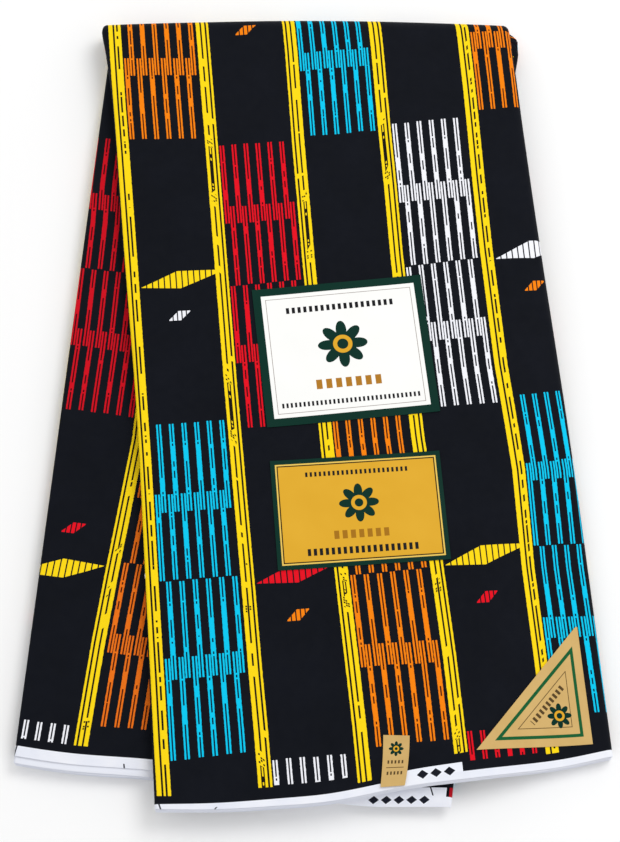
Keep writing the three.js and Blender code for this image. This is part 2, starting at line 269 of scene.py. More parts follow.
def turned_edge(radius):
    """Section of a side edge from its tucked-under end to the flat face: inset from the edge, depth, and
    the direction into the cloth. A small quarter round under, a straight, and a quarter round over."""
    under = np.radians([90, 60, 30])
    over = np.radians(np.linspace(0, 90, 9))
    inset = np.concatenate([[2.6, 1.6], 0.6 - 0.6 * np.cos(under), radius - radius * np.cos(over)])
    low = max(radius, 4.9)
    depth = np.concatenate([[low + 0.6] * 2, low + 0.6 * np.sin(under), radius - radius * np.sin(over)])
    inward = np.concatenate([[0, 0], np.cos(under), np.cos(over)])
    downward = np.concatenate([[-1, -1], -np.sin(under), np.sin(over)])
    return np.stack([inset, depth, inward, downward])


def ply_section(left_radius, right_radius, flat_steps, edge):
    """Section of a ply across its width, as s, offset and depth with the direction into the cloth."""
    left, right = edge(left_radius), edge(right_radius)[:, ::-1]
    share = np.linspace(0, 1, flat_steps + 2)[1:-1]
    flat = np.stack(
        [share, left_radius * (1 - share) - right_radius * share, 0 * share, 0 * share, 0 * share + 1]
    )
    mirrored = right * [[-1], [1], [-1], [1]]
    at_left, at_right = np.zeros(left.shape[1]), np.ones(right.shape[1])
    return np.hstack([np.vstack([at_left, left]), flat, np.vstack([at_right, mirrored])])


def hairpin(front_along, turn_angle, back_along, s, offset, depth):
    """A row of section points carried down the front half, round the fold and along the back half."""
    s, offset, depth = (np.asarray(v, float)[None] for v in (s, offset, depth))
    front_along, turn_angle, back_along = (
        np.asarray(v, float).reshape(-1, *[1] * (s.ndim - 1)) for v in (front_along, turn_angle, back_along)
    )
    return np.concatenate(
        [
            half_place(True, front_along, s, offset, depth),
            turn_place(turn_angle, s, offset, depth),
            half_place(False, back_along, s, offset, depth),
        ]
    )


CLOTH_THICKNESS = 0.7
WOVEN_EDGE, BACK_WOVEN_EDGE = 5.2, 7
section_s, section_offset, section_depth, section_in, section_down = ply_section(
    LEFT_ROUND, RIGHT_ROUND, 110, turned_edge
)
print_from = 1 - WOVEN_EDGE / FRONT_LEFT[0, -1]
front_rows = np.concatenate([np.linspace(1, print_from, 5), np.linspace(print_from, 0, 232)[1:]])
turn_rows = np.linspace(0, np.pi, 26)[1:]
back_print_end = 1 - BACK_WOVEN_EDGE / BACK_LENGTH
back_rows = np.concatenate([np.linspace(0, back_print_end, 76), np.linspace(back_print_end, 1, 4)[1:]])[1:]
cloth_rows = front_rows, turn_rows, back_rows
layers = [
    hairpin(*cloth_rows, section_s, section_offset + t * section_in, section_depth + t * section_down)
    for t in (0, CLOTH_THICKNESS)
]
outer = np.stack(layers, 2)
# Towards its left corner the front's woven edge narrows: the rows inside it are drawn down to the end
narrowing = 0.45 * np.arange(1, 5)[:, None, None]
outer[1:5, :, :, 1] -= narrowing * (1 - section_s[:, None]) ** 3

# Where the print falls: stripes 65.5 mm apart across, blocks 115.5 mm long down the cloth
STRIPE_PITCH = 65.5
BLOCK_LENGTH = 115.5
# Each half leans about this place on the plan's middle line. The front's print starts so far left of it
# and so far below it
LEAN_Y = -4
FRONT_LEAN, PRINT_LEFT, PRINT_BELOW = np.radians(4.54), 147.9, 93.4
# The weave has drifted: how far each stripe of the front lies off its straight line, by distance down
DRIFT_DOWN = np.array([-70, -30, 10, 50, 110, 200, 250, 280, 350, 410, 450])
STRIPE_DRIFT = np.array(
    [
        [-1.5, 0.1, 1.2, 1.8, 3.8],
        [-1.4, 0.1, 0.4, 0.8, 3.0],
        [-0.8, 0.1, -0.4, -0.1, 1.8],
        [-0.4, 0.0, -0.8, -0.6, 0.4],
        [0.1, -0.1, -1.5, -2.0, -1.0],
        [0.5, -0.3, -1.6, -2.2, -1.6],
        [0.8, 0.0, -1.5, -2.2, 0.2],
        [0.7, 0.1, -1.2, -1.2, 1.1],
        [0.2, 0.6, -0.25, 0.6, -1.2],
        [0.0, 0.7, 0.8, 2.0, -0.8],
        [-0.4, 1.2, 1.4, 2.0, -0.8],
    ]
)
# How far down the cloth each of five columns shows the same places of the print
PRINT_DOWN = np.array([-800, -86, -64, 0, 51.5, 115.5, 167, 231, 282.5, 346.5, 398, 462, 500])
COLUMN_DOWN = np.array(
    [
        [-806.5, -92.5, -70.5, -0.5, 51.5, 116, 165, 226.2, 278.7, 340.9, 394.5, 463, 501],
        [-805, -91, -66, 7.3, 59.3, 122.9, 170, 234.8, 284, 342.6, 394, 468.8, 506.8],
        [-803.5, -89.5, -67.5, 4.7, 57, 120, 172, 230, 283, 346.7, 397, 467, 505],
        [-803, -89, -66, -2, 50.8, 116.5, 163, 229.3, 279, 340.3, 392, 460, 498],
        [-811.5, -97.5, -75.5, -7.5, 45.5, 111, 160.5, 221.3, 272.5, 334.2, 386, 454, 492],
    ]
)
# How much further down each column shows them at its right side than at its left
COLUMN_SLANT = np.array(
    [
        [4.5, 4.5, 4.5, 4.4, 3, 2, 1, 0.7, 0.2, 0, -1.5, -2.5, -2.5],
        [0, 0, 0, -0.5, -0.5, -1.7, -1, 0, 0, 0, 0, 1, 1],
        [-0.8, -0.8, -0.8, -1.5, -1, -0.5, -0.5, -0.8, -0.8, -0.8, 1, 1, 1],
        [-1, -1, -1, -2.2, -1.8, -3.6, -1.7, 0, 0, 0, 0, -1, -1],
        [2, 2, 2, -0.5, -1, -2, -4, -6, -8, -2, 0, 0, 0],
    ]
)
# Print's distance down at the front's end, and how far from the end the print comes to follow it
CLOTH_END = 495.3
HEM_BLEND = np.array([14.0, 32.0])


def grid_value(rows, columns, values, row, column):
    """Value of a table of rows and columns, straight between its entries and held past its rim."""
    row = np.clip(np.interp(row, rows, np.arange(len(rows))), 0, len(rows) - 1.001)
    column = np.clip(np.interp(column, columns, np.arange(len(columns))), 0, len(columns) - 1.001)
    i, j = row.astype(int), column.astype(int)
    a, b = row - i, column - j
    near = values[i, j] * (1 - b) + values[i, j + 1] * b
    far = values[i + 1, j] * (1 - b) + values[i + 1, j + 1] * b
    return near * (1 - a) + far * a


def column_print(column, u, v):
    """Print's distance down at places in one column: the columns' table, read at v less the column's slant
    by the share across it."""
    share = np.clip(u / STRIPE_PITCH - column - 0.5, -0.6, 0.6)
    slant = np.interp(v, COLUMN_DOWN[column], COLUMN_SLANT[column])
    return np.interp(v - slant * share, COLUMN_DOWN[column], PRINT_DOWN)


def front_print(x, y, from_end):
    """Print coordinates of the outer ply laid open flat: its plan turned by its lean, less the drifts of
    the weave. Near the end they follow the distance from the end instead."""
    y = y - LEAN_Y
    u = x * np.cos(FRONT_LEAN) + y * np.sin(FRONT_LEAN) + PRINT_LEFT
    v = x * np.sin(FRONT_LEAN) - y * np.cos(FRONT_LEAN) - PRINT_BELOW
    stripes = np.arange(5) * STRIPE_PITCH
    straight_u = u - grid_value(DRIFT_DOWN, stripes, STRIPE_DRIFT, v, u)
    straight_v = column_print(0, straight_u, v)
    for stripe in range(1, 5):
        passed = ease((straight_u - stripe * STRIPE_PITCH + 5) / 10)
        straight_v = straight_v * (1 - passed) + passed * column_print(stripe, straight_u, v)
    at_end = ease((HEM_BLEND[1] - from_end) / (HEM_BLEND[1] - HEM_BLEND[0]))
    return straight_u, straight_v * (1 - at_end) + (CLOTH_END - from_end) * at_end


def rolled_edge(radius, more):
    """Offsets of a turned edge rolled out flat: the part past its quarter round, then the round itself."""
    tucked = np.array([6.8, 5.8, 4.8, 4.6, 4.4])
    turning = np.radians(90 - np.linspace(0, 90, 9))
    return np.concatenate([radius * (1 - np.pi / 2) - tucked + more, radius - radius * turning])


# The same ply laid open flat, for the print: its turned edges and its fold rolled out into the plane
left_edge, right_edge = rolled_edge(LEFT_ROUND, 0), -rolled_edge(RIGHT_ROUND, 1.5)[::-1]
flat_offset = np.concatenate([left_edge, section_offset[len(left_edge) : -len(right_edge)], right_edge])
opened = hairpin(*cloth_rows, section_s, flat_offset, 0 * section_depth)
fold_line = -FOLD_RADIUS + FOLD_BOW * 4 * section_s * (1 - section_s)
turn_first, back_first = len(front_rows), len(front_rows) + len(turn_rows)
opened[turn_first:back_first, :, 1] = fold_line[None] + FOLD_RADIUS * turn_rows[:, None]
back_y = opened[back_first:, :, 1]
opened[back_first:, :, 1] = fold_line[None] + FOLD_RADIUS * np.pi + (fold_line[None] - back_y)
# Distance from the front's end, and off the front a number that is always larger
from_end = np.full(opened.shape[:2], 1000.0)
from_end[:turn_first] = opened[:turn_first, :, 1] - opened[:1, :, 1]
outer_u, outer_v = front_print(opened[..., 0], opened[..., 1], from_end)
outer_uv = np.repeat(np.stack([outer_u, outer_v], -1)[:, :, None], 2, 2)


def ply_stretch(name, points, uv, first, last):
    """A closed stretch of a ply between two of its rows, both taken in."""
    points, uv = points[first : last + 1], uv[first : last + 1]
    faces = block_skin(*points.shape[:3])
    points, uv, faces = skin_only(points.reshape(-1, 3), uv.reshape(-1, 2), faces)
    return cloth_mesh(name, points, faces, uv)


# The rows where the print starts and stops
first, last = 4, len(outer) - 4
outer_cloth = ply_stretch("outer_cloth", outer, outer_uv, first, last)
front_selvedge = ply_stretch("front_woven_edge", outer, outer_uv, 0, first)
under_selvedge = ply_stretch("under_woven_edge", outer, outer_uv, last, len(outer) - 1)
for piece in (outer_cloth, front_selvedge, under_selvedge):
    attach(piece, "root")
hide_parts("front_ply", "fold_ply", "under_ply")
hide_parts("front_selvedge")


# Wax print
# Dye resisted with wax on both faces of plain-woven cotton: yellow stripes, and between them blocks of
# six bars that change colour down the cloth, with small hatched lozenges in the dark ground.


class Field:
    """A number spread over a surface, carried by a socket of a material's nodes. Each sum, product or
    comparison of fields adds one Math node."""

    def __init__(self, tree, socket):
        self.tree, self.socket = tree, socket

    def math(self, operation, *others):
        node = self.tree.nodes.new("ShaderNodeMath")
        node.operation = operation
        for place, value in zip(node.inputs, (self, *others)):
            if isinstance(value, Field):
                self.tree.links.new(value.socket, place)
            else:
                place.default_value = float(value)
        return Field(self.tree, node.outputs[0])

    def __add__(self, other):
        return self.math("ADD", other)

    def __sub__(self, other):
        return self.math("SUBTRACT", other)

    def __mul__(self, other):
        return self.math("MULTIPLY", other)

    def __rsub__(self, other):
        return self.math("MULTIPLY", -1).math("ADD", other)

    __radd__, __rmul__ = __add__, __mul__

    def near(self, middle, half):
        """1 where the number is within half of middle, and 0 elsewhere."""
        return self.math("COMPARE", middle, half)

    def under(self, limit):
        return self.math("LESS_THAN", limit)

    def over(self, limit):
        return self.math("GREATER_THAN", limit)

    def floor(self):
        return self.math("FLOOR")

    def wrapped(self, period):
        return self.math("FLOORED_MODULO", period)

    def size(self):
        return self.math("ABSOLUTE")

    def held(self):
        """The number held between 0 and 1."""
        node = self.tree.nodes.new("ShaderNodeClamp")
        self.tree.links.new(self.socket, node.inputs[0])
        return Field(self.tree, node.outputs[0])

    def either(self, other):
        return self.math("MAXIMUM", other)


def linear(colour):
    """A 0 to 255 screen colour as Blender's linear one."""
    share = np.array(colour) / 255
    return (*np.where(share > 0.04045, ((share + 0.055) / 1.055) ** 2.4, share / 12.92), 1)


def stepped(field, last, stops):
    """The colour of the last stop at or below a field that runs from 0 to last."""
    node = field.tree.nodes.new("ShaderNodeValToRGB")
    node.color_ramp.interpolation = "CONSTANT"
    elements = node.color_ramp.elements
    for number, (at, colour) in enumerate(stops):
        place = at / last
        element = elements[number] if number < 2 else elements.new(place)
        element.position = place
        element.color = linear(colour)
    while len(elements) > len(stops):
        elements.remove(elements[-1])
    field.tree.links.new((field * (1 / last)).socket, node.inputs[0])
    return node.outputs[0]


def laid_over(mask, under, over):
    """The under colour, with the over colour laid on it by a mask. A colour is a socket or 0 to 255."""
    node = mask.tree.nodes.new("ShaderNodeMix")
    node.data_type = "RGBA"
    mask.tree.links.new(mask.socket, node.inputs[0])
    for place, colour in ((node.inputs[6], under), (node.inputs[7], over)):
        if isinstance(colour, bpy.types.NodeSocket):
            mask.tree.links.new(colour, place)
        else:
            place.default_value = linear(colour)
    return node.outputs[2]


def laid_in_turn(colour, *coats):
    """A colour with others laid over it in turn, each by its own mask."""
    for mask, over in coats:
        colour = laid_over(mask, colour, over)
    return colour


def new_material(name):
    """A new material, and the print coordinates of its surface in millimetres as two fields."""
    material = bpy.data.materials.new(name)
    material.use_nodes = True
    tree = material.node_tree
    node = tree.nodes.new("ShaderNodeUVMap")
    node.uv_map = "print"
    parts = tree.nodes.new("ShaderNodeSeparateXYZ")
    tree.links.new(node.outputs[0], parts.inputs[0])
    return material, Field(tree, parts.outputs[0]) * 1000, Field(tree, parts.outputs[1]) * 1000


def mottle(u, v, scale, detail=1.0, rough=0.5):
    """Smooth noise from 0 to 1 over two fields, with so many lumps to a millimetre."""
    node = u.tree.nodes.new("ShaderNodeTexNoise")
    node.noise_dimensions = "2D"
    joined = u.tree.nodes.new("ShaderNodeCombineXYZ")
    u.tree.links.new(u.socket, joined.inputs[0])
    u.tree.links.new(v.socket, joined.inputs[1])
    u.tree.links.new(joined.outputs[0], node.inputs["Vector"])
    node.inputs["Scale"].default_value = scale
    node.inputs["Detail"].default_value = detail
    node.inputs["Roughness"].default_value = rough
    return Field(u.tree, node.outputs[0])


def chance(field, salt):
    """A steady random number from 0 to 1 for each whole value of a field."""
    node = field.tree.nodes.new("ShaderNodeTexWhiteNoise")
    node.noise_dimensions = "1D"
    field.tree.links.new((field + salt).socket, node.inputs["W"])
    return Field(field.tree, node.outputs[0])


def surfaced(material, colour, roughness, relief, depth, strength, gloss):
    """The material's shader with a colour socket, fields for roughness and for relief, how many metres deep
    and how strong the relief is, and how glossy the surface."""
    tree = material.node_tree
    shader = tree.nodes["Principled BSDF"]
    bump = tree.nodes.new("ShaderNodeBump")
    bump.inputs["Strength"].default_value = strength
    bump.inputs["Distance"].default_value = depth
    tree.links.new(relief.socket, bump.inputs["Height"])
    tree.links.new(bump.outputs[0], shader.inputs["Normal"])
    tree.links.new(colour, shader.inputs["Base Color"])
    tree.links.new(roughness.socket, shader.inputs["Roughness"])
    shader.inputs["Specular IOR Level"].default_value = gloss
    return shader


def woven_cotton(material, u, v, colour, roughness):
    """Plain-woven cotton: a fine weave of crossing sines and soft creases in its relief, and a soft nap in
    its roughness."""
    relief = (u * 14.0).math("SINE") * (v * 14.0).math("SINE") + mottle(u, v, 0.02, 3.0, 0.6) * 6
    nap = mottle(u, v, 0.15, 2.0) * 0.16 + (roughness - 0.08)
    shader = surfaced(material, colour, nap, relief, 0.00012, 0.25, 0.08)
    shader.inputs["Sheen Weight"].default_value = 0.01
    shader.inputs["Sheen Roughness"].default_value = 0.5


YELLOW, ORANGE, RED = (252, 217, 18), (248, 132, 8), (228, 12, 32)
CYAN, WHITE = (4, 200, 240), (242, 243, 249)

wax_print, u, v = new_material("wax_print")
column = (u * (1 / STRIPE_PITCH)).floor()
across_column = u - column * STRIPE_PITCH
block = (v * (1 / BLOCK_LENGTH)).floor()
down_block = v - block * BLOCK_LENGTH
zone = (block * 0.5).floor()
down_zone = v - zone * (2 * BLOCK_LENGTH)
# Zones of two blocks are barred and dark by turns, both down the cloth and across it. The bars are cyan
# and orange by turns in the even columns, and red and white in the odd ones.
turn = (zone + column).wrapped(4)
odd_column = column.wrapped(2)
is_block = turn.wrapped(2)
# The print of the front half runs to the middle of a dark border, and that of the back half from there
BORDER_MIDDLE = 581
at_front = v.under(BORDER_MIDDLE)
outer_column = column.wrapped(4).under(0.5) * at_front
BAR_PITCH = 9.05


def bar_set(start, first, last, salt):
    """Six bars a pitch apart from a start, between two ends down the block that wander a little from bar
    to bar. Returns the bars and the broken line down the middle of each."""
    run = (across_column - start) * (1 / BAR_PITCH)
    bar = run.floor()
    from_middle = ((run - bar) - 0.5) * BAR_PITCH
    which = chance(bar + column * 7 + block * 13, salt)
    ragged = which * 0.8 - 0.4
    fray = (mottle(u, v, 0.5) - 0.5) * 0.45
    body = from_middle.size().under(fray + 1.72) * run.near(3, 2.999)
    body = body * (down_block - ragged).over(first) * (down_block + ragged).under(last)
    broken = mottle(which * 900 + bar * 31, v, 0.075).over(0.47)
    near_end = (down_block - first).under(13.5).either((down_block - last).over(-12.5))
    eye = (down_block - first).near(15.5, 0.9).either((down_block - last).near(-14.6, 0.9))
    line = from_middle.size().under(0.5) * broken.either(near_end).either(eye)
    return body, line


upper, upper_line = bar_set(outer_column * 4.0 + 3.2, 0.5, 65.1, 3)
lower, lower_line = bar_set(7.2 - outer_column * 4.0, 51.5, BLOCK_LENGTH - 0.4, 57)
in_zone = is_block * u.over(0)
bars = upper.either(lower) * in_zone
lines = (upper * upper_line).either(lower * lower_line)
# The bars' four colours. The back half's orange and red are a little darker: painted shade over the whole
# back half, which lies lower, under the front half
bar_choice = (turn - 1) * 0.5 + odd_column * 2
front_colour = stepped(bar_choice + 0.5, 4, [(0, CYAN), (1, ORANGE), (2, RED), (3, WHITE)])
back_painted_shade_colour = stepped(bar_choice + 0.5, 4, [(0, CYAN), (1, (237, 115, 22)), (2, (207, 11, 30)), (3, WHITE)])
bar_colour = laid_over(at_front, back_painted_shade_colour, front_colour)
dark_choice = [(0, (0, 26, 48)), (1, (74, 20, 6)), (2, (62, 0, 10)), (3, (20, 22, 32))]
bar_dark = stepped(bar_choice + 0.5, 4, dark_choice)

# Hatched lozenge and small hatched mark in all but a few dark zones, their colours set by column and zone
place = column + zone * 5 + 6.5
big_stops = [(0, RED), (2, YELLOW), (9, WHITE), (11, RED), (13, YELLOW)]
small_stops = [(0, ORANGE), (5, WHITE), (9, ORANGE), (13, RED), (15, WHITE), (21, RED)]
shown = (1 - is_block) * (1 - place.near(8.5, 0.4)) * (1 - place.near(4.5, 0.4))
lozenge_colour = stepped(place, 28, big_stops)
mark_colour = stepped(place, 28, small_stops)
top_line = 120.7 - ((across_column - 6) * (1 / 27)).held() * 12.4
bottom_line = 120.7 + ((across_column - 6) * (1 / 29)).held() * 1.6
bottom_line = bottom_line - ((across_column - 35) * (1 / 31)).held() * 13
lozenge = (down_zone - top_line).over(0) * (bottom_line - down_zone).over(0)
lozenge = lozenge * across_column.near(33.5, 27.5) * (across_column - 5.5).wrapped(4.35).over(0.95)
slanted = across_column - (149.0 - down_zone)
mark = down_zone.near(145, 3.9) * slanted.near(28.8, 4.6) * (across_column - 1).wrapped(3.3).over(0.9)

# Stripes: each has an unbroken line and a broken one. On every fourth stripe the broken line is dashes and
# dots. On the others it swells here and there into a long black drop with specks past both its ends.
stripe = (u * (1 / STRIPE_PITCH) + 0.5).floor()
off_stripe = u - stripe * STRIPE_PITCH - 0.2
plain_stripe = stripe.wrapped(4).under(0.5)
middle_stripe = stripe.wrapped(4).near(2, 0.4)
stripes = off_stripe.size().under((mottle(u, v, 0.4) - 0.5) * 0.5 + 4.65)
# The stripe in the right side's turned edge stops by the fold, and the back half has none at its far right
stripes = stripes * (1 - u.near(327.5, 7) * v.near(-110, 50)) * u.over(-185)
from_solid = off_stripe - 2.45 + plain_stripe * 3.25 + middle_stripe * 4.85
from_broken = off_stripe + 1.2 - plain_stripe * 3.1 - middle_stripe * 2.35

# How far past the start and the end of its stripe's drop a place is, or -100 where there is no drop
past_start, past_end = v * 0 - 100, v * 0 - 100
for number, start, end in (
    (1, 4.8, 42),
    (1, 200, 236),
    (1, 470, 492),
    (2, 52.8, 91),
    (2, 352, 362),
    (3, -2.8, 34),
    (3, 464, 478),
):
    beside = stripe.near(number, 0.4) * v.near((start + end) / 2 - 6, (end - start) / 2 + 20)
    past_start = past_start + beside * (v + (100 - start))
    past_end = past_end + beside * (v + (100 - end))
drop = from_broken.size().under(1.3) * past_start.over(0) * (past_end + from_broken * 1.6).under(0)
eyes = past_start.near(10.5, 1.0).either(past_end.near(-5.5, 0.9)).either(past_end.near(-2.6, 0.7))
split = past_start.near(3.2, 2.8).either(eyes) * from_broken.size().under(0.45)
speckled = past_start.near(-4.0, 3.5).either(past_end.near(5.5, 4.0))
# Stretches that have specks without a drop
for number, start, end in (
    (1, 331, 340),
    (1, 364, 373),
    (3, 358, 369),
    (1, 817, 824),
    (1, 785, 795),
    (1, 690, 700),
):
    speckled = speckled.either(stripe.near(number, 0.4) * v.near((start + end) / 2, (end - start) / 2))
speck_across, speck_down = (from_broken + 2.1) * (1 / 1.4), v * (1 / 1.7)
speck_here = chance(speck_across.floor() + speck_down.floor() * 7 + stripe * 3, 71).over(0.57)
speck_shape = speck_across.wrapped(1).near(0.5, 0.4) * speck_down.wrapped(1).near(0.5, 0.36)
specks = speckled * speck_here * speck_shape * from_broken.size().under(2.1)

by_drop = past_start.over(-9.5) * past_end.under(12.5)
solid_line = from_solid.size().under(0.66) * (1 - past_start.near(-22, 2))
pair_line = from_broken.size().under(0.62) * mottle(stripe * 17, v, 0.08).over(0.34) * (1 - by_drop)
dashes = mottle(stripe * 37 + 5, v, 0.085).over(0.49)
dots = v.wrapped(9.3).under(2.6) * mottle(stripe * 11 + 2, v, 0.05).over(0.52)
plain_line = from_broken.size().under(0.66) * dashes.either(dots)
pair_marks = pair_line.either(drop * (1 - split)).either(specks)
stripe_lines = solid_line.either(pair_marks * (1 - plain_stripe)).either(plain_line * plain_stripe)

# The dark border along each woven edge, where the print stops. On the front, stripes and bars stop short
# of it or run on by their own amounts. On the back half they all stop the same little short of it.
stripe_short = (
    stripe.near(1, 0.4) * 2.6
    - stripe.near(2, 0.4) * 1.4
    + stripe.near(3, 0.4) * 7.8
    - stripe.near(0, 0.4) * 1.3
)
bars_short = column.near(1, 0.4) * 3.6 + column.near(3, 0.4) * 1.6
BORDER_HALF, BACK_SHORT = 95.5, 1.4
short_middle = BORDER_MIDDLE + BACK_SHORT
stripes = stripes * (1 - (v + at_front * (stripe_short + BACK_SHORT)).near(short_middle, BORDER_HALF))
bars = bars * (1 - (v + at_front * (bars_short + BACK_SHORT)).near(short_middle, BORDER_HALF))
inside_print = 1 - v.near(BORDER_MIDDLE, BORDER_HALF) * (1 - stripes)


def patch_marks(u, v):
    """Three small dark lozenges in a row."""
    beside = (u - 165).wrapped(9) - 4.5
    return (beside.size() * 0.75 + (v - 489.2).size()).under(2.9) * u.near(179, 13.4)


# A white patch where the woven edge widens into the print, with the lozenges on it
patch = u.near(177, 19.5) * (v - (177 - u) * 0.03).near(500, 15.2)
ground = laid_over(mottle(u, v, 0.03, 4.0, 0.6), (8, 11, 18), (15, 18, 27))
coloured = laid_in_turn(
    ground,
    (lozenge * shown, lozenge_colour),
    (mark * shown, mark_colour),
    (bars, laid_over(lines, bar_colour, bar_dark)),
    (stripes, laid_over(stripe_lines, YELLOW, (20, 16, 12))),
)
coloured = laid_over(inside_print, ground, coloured)
coloured = laid_in_turn(coloured, (patch, (238, 241, 250)), (patch * patch_marks(u, v), (22, 24, 34)))
woven_cotton(wax_print, u, v, coloured, 0.72)
outer_cloth.data.materials.append(wax_print)


# Woven edge
# The unprinted white margin along each side of the cloth, closely woven, with a few short dark ticks
# where the dye has caught.

woven_edge, u, v = new_material("woven_edge")
# Each tick: where across, how it leans, and between which places down
tick = u * 0
for across_at, lean, start, end in (
    (-3, 0.15, 485, 500),
    (31, -0.75, 493.5, 500),
    (107.4, -0.15, 660, 690),
    (34.3, 0.25, 660, 667.5),
    (-127.3, -0.88, 664.2, 672),
    (-171, 0.38, 671, 677.5),
):
    middle = v - (start + end) / 2
    one = (u - middle * lean - across_at).size().under(0.5) * middle.size().under((end - start) / 2)
    tick = tick.either(one)
# A row of small dark lozenges that leans with the back half's end
beside = (u + 171).wrapped(8.4) - 4.2
lozenges = beside.size() * 0.75 + (v + (u + 153) * 0.134 - 665.6).size()
lozenges = (lozenges.under(2.7) * u.near(-150, 21)).either(patch_marks(u, v))
paper_white = laid_over(mottle(u, v, 0.05, 3.0), (226, 230, 243), (246, 247, 252))
inked = laid_over(tick.either(lozenges), paper_white, (26, 28, 40))
# At the back half's far corner the print reaches past its border: black with one red bar
corner = u.under(-181) * v.over(671.3)
inked = laid_over(corner, inked, laid_over(u.near(-184.2, 1.3), (12, 14, 20), (176, 14, 30)))
woven_cotton(woven_edge, u, v, inked, 0.8)
front_selvedge.data.materials.append(woven_edge)
under_selvedge.data.materials.append(woven_edge)
ply_stack.data.materials.append(wax_print)
ply_stack.data.materials.append(woven_edge)


# The back half's inner ply
# Where the front half does not cover it, the back half shows the ply that faces the crease, printed like
# the rest, with its woven edge and the next plies' edges stepping out beyond it.

BACK_LEAN, BACK_STRIPE = np.radians(-7.64), 83.3
# The drift of the back half's one stripe, then the print's distance down at the ends of its blocks and
# where those lie along the cloth, to the right of the stripe and to its left
BACK_DRIFT = np.array(
    [
        [50, 115, 155, 185, 220, 265, 285, 332, 350, 400, 450, 500, 570],
        [-11, -7.3, -5.2, -2.2, -0.2, 2.3, 3.1, 4.2, 4.9, 3.3, 1.6, 0.3, 0],
    ]
)
BACK_DOWN = np.array([1276, 1155, 1039.5, 924, 808.5, 693, 672.5, 647])
BACK_RIGHT_BLOCKS = np.array([0, 114, 222.8, 334.2, 440.8, 556.5, 575, 600])
BACK_LEFT_BLOCKS = np.array([0, 114, 222.8, 334.2, 450.3, 557.6, 575, 600])


def back_print(x, y):
    """Print coordinates of the back half's inner ply, on which the print runs the other way: its plan
    turned by its lean, less its stripe's drift and skewed right of the stripe near the end."""
    y = y - LEAN_Y
    u = x * np.cos(BACK_LEAN) + y * np.sin(BACK_LEAN)
    v = x * np.sin(BACK_LEAN) - y * np.cos(BACK_LEAN)
    straight_u = STRIPE_PITCH - (u + BACK_STRIPE - np.interp(v, *BACK_DRIFT))
    passed = ease((straight_u - STRIPE_PITCH + 5) / 10)
    skewed = v + 0.065 * ease((v - 490) / 70) * np.clip(STRIPE_PITCH - 8 - straight_u, 0, 50)
    right, left = np.interp(skewed, BACK_RIGHT_BLOCKS, BACK_DOWN), np.interp(v, BACK_LEFT_BLOCKS, BACK_DOWN)
    return straight_u, right * (1 - passed) + left * passed


def low_edge(radius):
    """Section of a side edge that turns down a little way: straight, then a quarter round over."""
    over = np.radians(np.linspace(0, 90, 7))
    inset = np.concatenate([[0.9, 0.2], radius - radius * np.cos(over)])
    depth = np.concatenate([[3.6, 3.2], radius - radius * np.sin(over)])
    return np.stack([inset, depth, [0.7, 1, *np.cos(over)], [-0.7, 0, *np.sin(over)]])


INNER_ROUND, INNER_SHORT, INNER_STEPS = 2.2, 4.2, 200
inner_s, inner_offset, inner_depth, inner_in, inner_down = ply_section(
    INNER_ROUND, INNER_ROUND, 110, low_edge
)
inner_end = 1 - INNER_SHORT / BACK_LENGTH
inner_print_end = inner_end - BACK_WOVEN_EDGE / BACK_LENGTH


def inner_place(along, s, offset, depth):
    """Points of the back half's upper side, which lies 13.3 mm over the floor, in slight waves. At the
    right its end reaches 9 mm further and droops by the cube of the way across its woven edge, and by
    the fold its corner is rounded."""
    at_right = ease((s - 0.45) / 0.4)
    past = np.clip((along - inner_end) * BACK_LENGTH / BACK_WOVEN_EDGE + 1, 0, 1)
    further = (4.4 * along**8 + 4.6 * past) / BACK_LENGTH * at_right
    points = half_place(False, along + further, s, offset, depth)
    points[..., 2] = FOLD_RADIUS + 0.6 - points[..., 2] + 0.6 * waviness(points[..., 0], points[..., 1])
    points[..., 2] -= 2.6 * past**3 * at_right
    points[..., 0] -= 4.5 * np.clip(1 - along * BACK_LENGTH / 9, 0, 1) ** 2 * s**20
    return points


inner_rows = np.concatenate(
    [np.linspace(0.002, inner_print_end, INNER_STEPS), np.linspace(inner_print_end, inner_end, 5)[1:]]
)[:, None]
inner = np.stack(
    [
        inner_place(inner_rows, inner_s, inner_offset + t * inner_in, inner_depth + t * inner_down)
        for t in (0, CLOTH_THICKNESS)
    ],
    2,
)
inner_uv = np.stack(back_print(inner[..., 0], inner[..., 1]), -1)
inner_cloth = ply_stretch("inner_cloth", inner, inner_uv, 0, INNER_STEPS - 1)
back_selvedge = ply_stretch("back_woven_edge", inner, inner_uv, INNER_STEPS - 1, len(inner) - 1)
for piece, material, name in ((inner_cloth, wax_print, "wax_print"), (back_selvedge, woven_edge, "selvedge")):
    piece.data.materials.append(material)
    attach(piece, "root")
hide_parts("back_ply")
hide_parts("back_selvedge")


# Paper labels
# Four printed paper labels stuck to the front: a large white one and a gold one with dark green borders,
# a small brown one at the end, and a brown triangle. Each lies on the cloth and lifts a little at its edges.


def face_height(x, y):
    """Height of the front face in plan."""
    return STACK_HEIGHT - settling(x, y) + waviness(x, y)


def paper_label(name, a, b, plan, lift):
    """A label as a thin closed sheet: plan carries its shares a (across) and b (up) to x and y, and each
    point lies 0.3 mm over the cloth and a lift higher."""
    x, y, u, v = plan(a, b)
    base = face_height(x, y) + 0.3 + lift
    points = np.stack([np.stack([x, y, base + t], -1) for t in (0, 0.25)], 2)
    uv = np.repeat(np.stack([u, v], -1)[:, :, None], 2, 2)
    faces = block_skin(*points.shape[:3])
    points, uv, faces = skin_only(points.reshape(-1, 3), uv.reshape(-1, 2), faces)
    return cloth_mesh(name, points, faces, uv)


